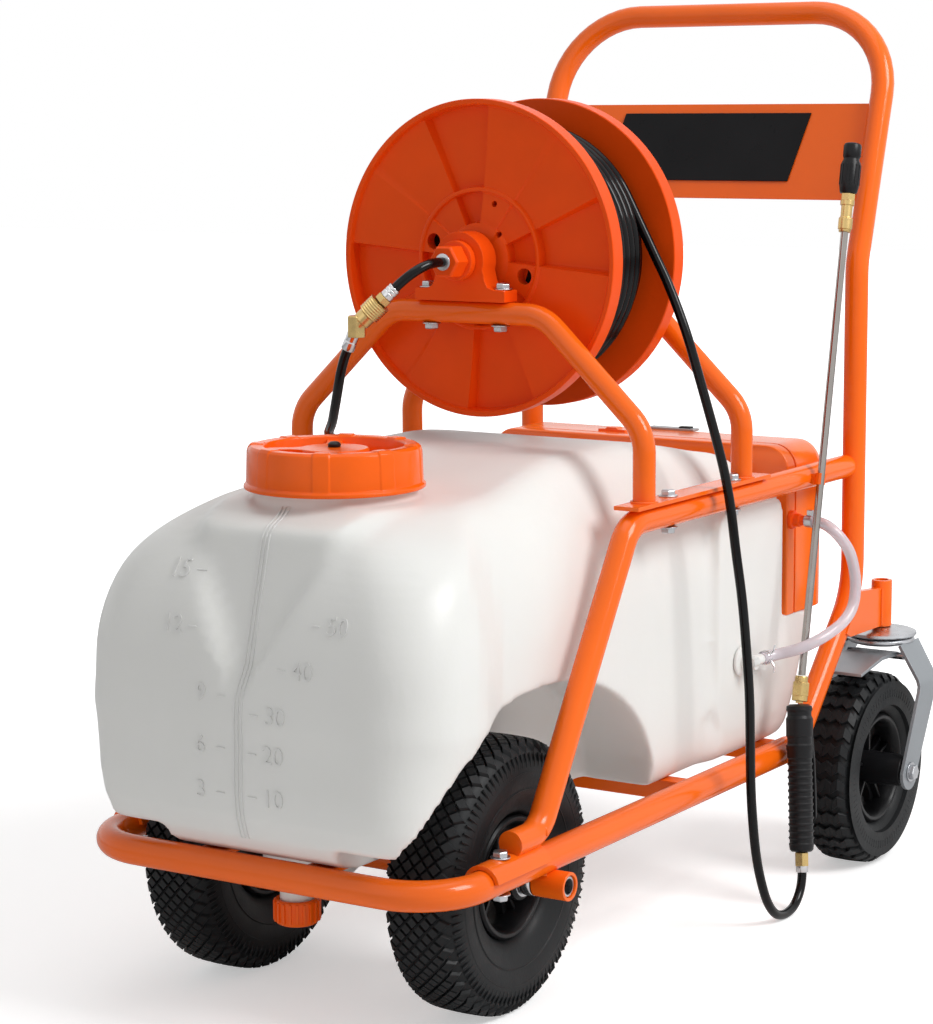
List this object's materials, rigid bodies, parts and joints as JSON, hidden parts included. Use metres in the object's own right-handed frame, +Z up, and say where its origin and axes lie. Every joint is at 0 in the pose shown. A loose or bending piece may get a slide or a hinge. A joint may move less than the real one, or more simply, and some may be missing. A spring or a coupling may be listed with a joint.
{
  "type": "wheeled sprayer cart",
  "caption": "Hand-pushed sprayer cart: tubular frame, moulded tank with screw lid, pump box, hose reel with crank, spray lance, front wheels and swivel casters.",
  "frame": {"origin": "on the floor, under the middle of the cart's length and width, measured without the hoses", "axes": "+Z up, +X the side with the lance and hose, -Y the front with the bumper, +Y the rear with the push handle"},
  "size_m": [0.5626, 0.961, 0.9449],
  "materials": {
    "frame_paint": "gloss orange powder coat",
    "orange_plastic": "moulded orange plastic",
    "tank_plastic": "milky rotomoulded polyethylene",
    "tyre_rubber": "black treaded rubber",
    "hose_rubber": "smooth black rubber hose",
    "black_plastic": "black moulded plastic",
    "zinc": "zinc plated steel",
    "chrome": "bright plated steel",
    "brass": "machined brass",
    "clear_pvc": "clear pvc hose"
  },
  "bodies": {
    "chassis": {"base_frame": "frame_paint", "side_frame_right": "frame_paint", "side_frame_left": "frame_paint", "handle_frame": "frame_paint", "handle_panel": "frame_paint", "label_plate": "black_plastic", "front_axle": "zinc", "axle_spacer": "frame_paint", "caster_bracket_right": "frame_paint", "caster_bracket_left": "frame_paint", "caster_head_right": "zinc", "caster_head_left": "zinc", "reel_stand": "frame_paint", "bearing_block_front": "orange_plastic", "bearing_block_rear": "orange_plastic", "swivel_nut": "orange_plastic", "delivery_hose": "hose_rubber", "hub_hose": "hose_rubber", "feed_coupler": "brass", "feed_hose": "hose_rubber", "clear_hose": "clear_pvc", "tank_outlet": "tank_plastic", "box_inlet": "brass", "tank": "tank_plastic", "pump_box": "orange_plastic", "lance_tube": "chrome", "lance_nozzle": "brass", "nozzle_head": "black_plastic", "grip_nut": "brass", "grip_body": "black_plastic", "grip_fitting": "brass", "lance_clip": "frame_paint"},
    "reel": {"reel_flange_front": "orange_plastic", "reel_flange_rear": "orange_plastic", "reel_drum": "orange_plastic", "reel_shaft": "zinc", "hose_core": "hose_rubber", "hose_winding": "hose_rubber", "crank_arm": "frame_paint"},
    "crank_grip": {"crank_knob": "black_plastic"},
    "lid": {"tank_lid": "orange_plastic", "lid_vent": "black_plastic"},
    "drain": {"drain_cap": "orange_plastic"},
    "trigger": {"grip_trigger": "black_plastic"},
    "front_wheel_right": {"front_tyre_right": "tyre_rubber", "front_rim_right": "black_plastic"},
    "caster_right": {"caster_fork_right": "zinc", "caster_axle_right": "zinc"},
    "caster_wheel_right": {"caster_tyre_right": "tyre_rubber", "caster_rim_right": "black_plastic"},
    "caster_brake_pedal_right": {"caster_brake_right": "zinc"},
    "front_wheel_left": {"front_tyre_left": "tyre_rubber", "front_rim_left": "black_plastic"},
    "caster_left": {"caster_fork_left": "zinc", "caster_axle_left": "zinc"},
    "caster_wheel_left": {"caster_tyre_left": "tyre_rubber", "caster_rim_left": "black_plastic"},
    "caster_brake_pedal_left": {"caster_brake_left": "zinc"}
  },
  "joints": [
    {"name": "reel_spin", "type": "hinge", "parent": "chassis", "child": "reel", "pos_m": [0, -0.0005, 0.684], "axis": [0, 1, 0], "continuous": true},
    {"name": "crank_grip_spin", "type": "hinge", "parent": "reel", "child": "crank_grip", "pos_m": [-0.112, 0.1595, 0.684], "axis": [0, 1, 0], "continuous": true},
    {"name": "lid_turn", "type": "hinge", "parent": "chassis", "child": "lid", "pos_m": [0, -0.3235, 0.5], "axis": [0, 0, 1], "continuous": true},
    {"name": "drain_cap_turn", "type": "hinge", "parent": "chassis", "child": "drain", "pos_m": [0, -0.3925, 0.104], "axis": [0, 0, 1], "continuous": true},
    {"name": "trigger_pull", "type": "hinge", "parent": "chassis", "child": "trigger", "pos_m": [0.22833, 0.2075, 0.1807], "axis": [-0.9935, -0.0097, -0.1132], "range_deg": [0, 5], "stiffness_Nm_per_rad": 2, "springref_deg": -5.73},
    {"name": "front_wheel_right_spin", "type": "hinge", "parent": "chassis", "child": "front_wheel_right", "pos_m": [0.138, -0.2805, 0.13], "axis": [1, 0, 0], "continuous": true},
    {"name": "caster_right_swivel", "type": "hinge", "parent": "chassis", "child": "caster_right", "pos_m": [0.215, 0.4245, 0.246], "axis": [0, 0, 1], "continuous": true},
    {"name": "caster_wheel_right_spin", "type": "hinge", "parent": "caster_right", "child": "caster_wheel_right", "pos_m": [0.215, 0.3745, 0.106], "axis": [1, 0, 0], "continuous": true},
    {"name": "caster_brake_right_press", "type": "hinge", "parent": "caster_right", "child": "caster_brake_pedal_right", "pos_m": [0.215, 0.4125, 0.226], "axis": [1, 0, 0], "range_deg": [0, 8], "stiffness_Nm_per_rad": 2, "springref_deg": -11.46},
    {"name": "front_wheel_left_spin", "type": "hinge", "parent": "chassis", "child": "front_wheel_left", "pos_m": [-0.138, -0.2805, 0.13], "axis": [1, 0, 0], "continuous": true},
    {"name": "caster_left_swivel", "type": "hinge", "parent": "chassis", "child": "caster_left", "pos_m": [-0.215, 0.4245, 0.246], "axis": [0, 0, 1], "continuous": true},
    {"name": "caster_wheel_left_spin", "type": "hinge", "parent": "caster_left", "child": "caster_wheel_left", "pos_m": [-0.215, 0.3745, 0.106], "axis": [1, 0, 0], "continuous": true},
    {"name": "caster_brake_left_press", "type": "hinge", "parent": "caster_left", "child": "caster_brake_pedal_left", "pos_m": [-0.215, 0.4125, 0.226], "axis": [1, 0, 0], "range_deg": [0, 8], "stiffness_Nm_per_rad": 2, "springref_deg": -11.46}
  ]
}
